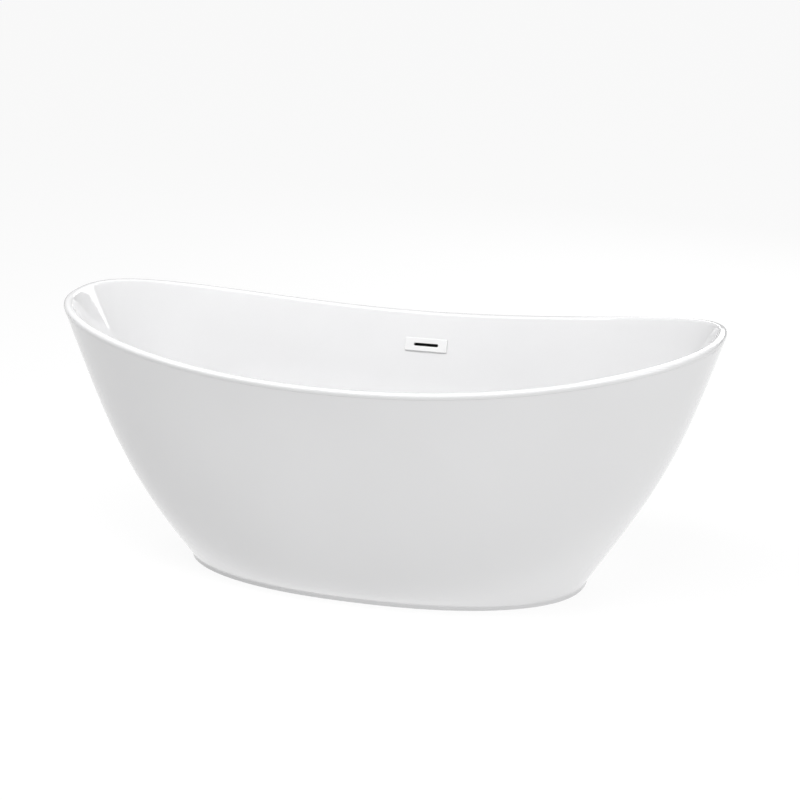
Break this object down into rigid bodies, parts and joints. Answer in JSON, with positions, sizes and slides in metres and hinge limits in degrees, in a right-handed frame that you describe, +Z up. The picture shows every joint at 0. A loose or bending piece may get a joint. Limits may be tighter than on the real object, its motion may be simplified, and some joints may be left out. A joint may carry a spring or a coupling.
{
  "type": "freestanding bathtub",
  "caption": "Freestanding double-ended slipper bathtub: white twin-skin oval tub with raised ends, thin rolled rim, slotted overflow, pop-up waste and levelling feet.",
  "frame": {"origin": "on the floor under the middle of the tub, at the centre of the plan outline", "axes": "+X runs along the tub, +Y points to the long side that has the overflow, +Z is up"},
  "size_m": [1.6996, 0.7596, 0.68],
  "materials": {
    "acrylic": "gloss white acrylic sheet, vacuum formed and backed with glass fibre",
    "cover_gloss": "gloss white moulded cover",
    "adhesive": "cured off-white polyurethane adhesive",
    "plywood": "birch plywood, sealed with resin",
    "galvanised_steel": "hot-dip galvanised, dull grey spangle",
    "zinc_plated_steel": "bright zinc plate",
    "black_plastic": "black moulded plastic",
    "chrome": "polished chrome plate on brass",
    "grey_plastic": "grey moulded polypropylene",
    "rubber": "black moulded rubber"
  },
  "bodies": {
    "tub": {"outer_apron": "acrylic", "inner_basin": "acrylic", "rim_bond": "adhesive", "floor_board": "plywood", "frame_rail_front": "galvanised_steel", "frame_rail_rear": "galvanised_steel", "frame_crossbar_left": "galvanised_steel", "frame_crossbar_mid_left": "galvanised_steel", "frame_crossbar_mid_right": "galvanised_steel", "frame_crossbar_right": "galvanised_steel", "frame_screw_1": "zinc_plated_steel", "frame_screw_2": "zinc_plated_steel", "frame_screw_3": "zinc_plated_steel", "frame_screw_4": "zinc_plated_steel", "skirt_strap_1": "galvanised_steel", "skirt_screw_1": "zinc_plated_steel", "skirt_strap_2": "galvanised_steel", "skirt_screw_2": "zinc_plated_steel", "skirt_strap_3": "galvanised_steel", "skirt_screw_3": "zinc_plated_steel", "skirt_strap_4": "galvanised_steel", "skirt_screw_4": "zinc_plated_steel", "foot_bracket_1": "galvanised_steel", "foot_lock_nut_1": "zinc_plated_steel", "foot_bracket_2": "galvanised_steel", "foot_lock_nut_2": "zinc_plated_steel", "foot_bracket_3": "galvanised_steel", "foot_lock_nut_3": "zinc_plated_steel", "foot_bracket_4": "galvanised_steel", "foot_lock_nut_4": "zinc_plated_steel", "waste_flange": "chrome", "waste_flange_gasket": "rubber", "waste_lower_gasket": "rubber", "drain_shoe": "grey_plastic", "tailpiece": "chrome", "tailpiece_washer": "rubber", "tailpiece_slip_nut": "grey_plastic", "plug_cartridge": "grey_plastic", "plug_spring": "zinc_plated_steel", "overflow_cover": "cover_gloss", "overflow_gasket": "rubber", "overflow_body": "black_plastic", "overflow_screw_left": "zinc_plated_steel", "overflow_screw_right": "zinc_plated_steel", "hose_clamp_top": "zinc_plated_steel", "overflow_hose": "black_plastic", "hose_clamp_bottom": "zinc_plated_steel"},
    "plug": {"plug_cap": "chrome", "plug_seal": "rubber", "plug_stem": "chrome"},
    "foot_1": {"foot_pad_1": "black_plastic"},
    "stud_1": {"foot_stud_1": "zinc_plated_steel"},
    "foot_2": {"foot_pad_2": "black_plastic"},
    "stud_2": {"foot_stud_2": "zinc_plated_steel"},
    "foot_3": {"foot_pad_3": "black_plastic"},
    "stud_3": {"foot_stud_3": "zinc_plated_steel"},
    "foot_4": {"foot_pad_4": "black_plastic"},
    "stud_4": {"foot_stud_4": "zinc_plated_steel"}
  },
  "joints": [
    {"name": "plug_lift", "type": "slide", "parent": "tub", "child": "plug", "axis": [0, 0, 1], "range_m": [0, 0.01], "deforming": ["plug_spring"]},
    {"name": "foot_1_level", "type": "slide", "parent": "tub", "child": "foot_1", "axis": [0, 0, 1], "range_m": [-0.012, 0.008]},
    {"name": "foot_1_turn", "type": "hinge", "parent": "foot_1", "child": "stud_1", "pos_m": [-0.345, -0.112, 0.05], "axis": [0, 0, 1], "range_deg": [-2469.57, 1646.71]},
    {"name": "foot_2_level", "type": "slide", "parent": "tub", "child": "foot_2", "axis": [0, 0, 1], "range_m": [-0.012, 0.008]},
    {"name": "foot_2_turn", "type": "hinge", "parent": "foot_2", "child": "stud_2", "pos_m": [0.345, -0.112, 0.05], "axis": [0, 0, 1], "range_deg": [-2469.57, 1646.71]},
    {"name": "foot_3_level", "type": "slide", "parent": "tub", "child": "foot_3", "axis": [0, 0, 1], "range_m": [-0.012, 0.008]},
    {"name": "foot_3_turn", "type": "hinge", "parent": "foot_3", "child": "stud_3", "pos_m": [-0.345, 0.112, 0.05], "axis": [0, 0, 1], "range_deg": [-2469.57, 1646.71]},
    {"name": "foot_4_level", "type": "slide", "parent": "tub", "child": "foot_4", "axis": [0, 0, 1], "range_m": [-0.012, 0.008]},
    {"name": "foot_4_turn", "type": "hinge", "parent": "foot_4", "child": "stud_4", "pos_m": [0.345, 0.112, 0.05], "axis": [0, 0, 1], "range_deg": [-2469.57, 1646.71]}
  ],
  "couplings": [
    {"joint": "foot_1_turn", "follows": "foot_1_level", "rad_per_m": 3590.4},
    {"joint": "foot_2_turn", "follows": "foot_2_level", "rad_per_m": 3590.4},
    {"joint": "foot_3_turn", "follows": "foot_3_level", "rad_per_m": 3590.4},
    {"joint": "foot_4_turn", "follows": "foot_4_level", "rad_per_m": 3590.4}
  ]
}
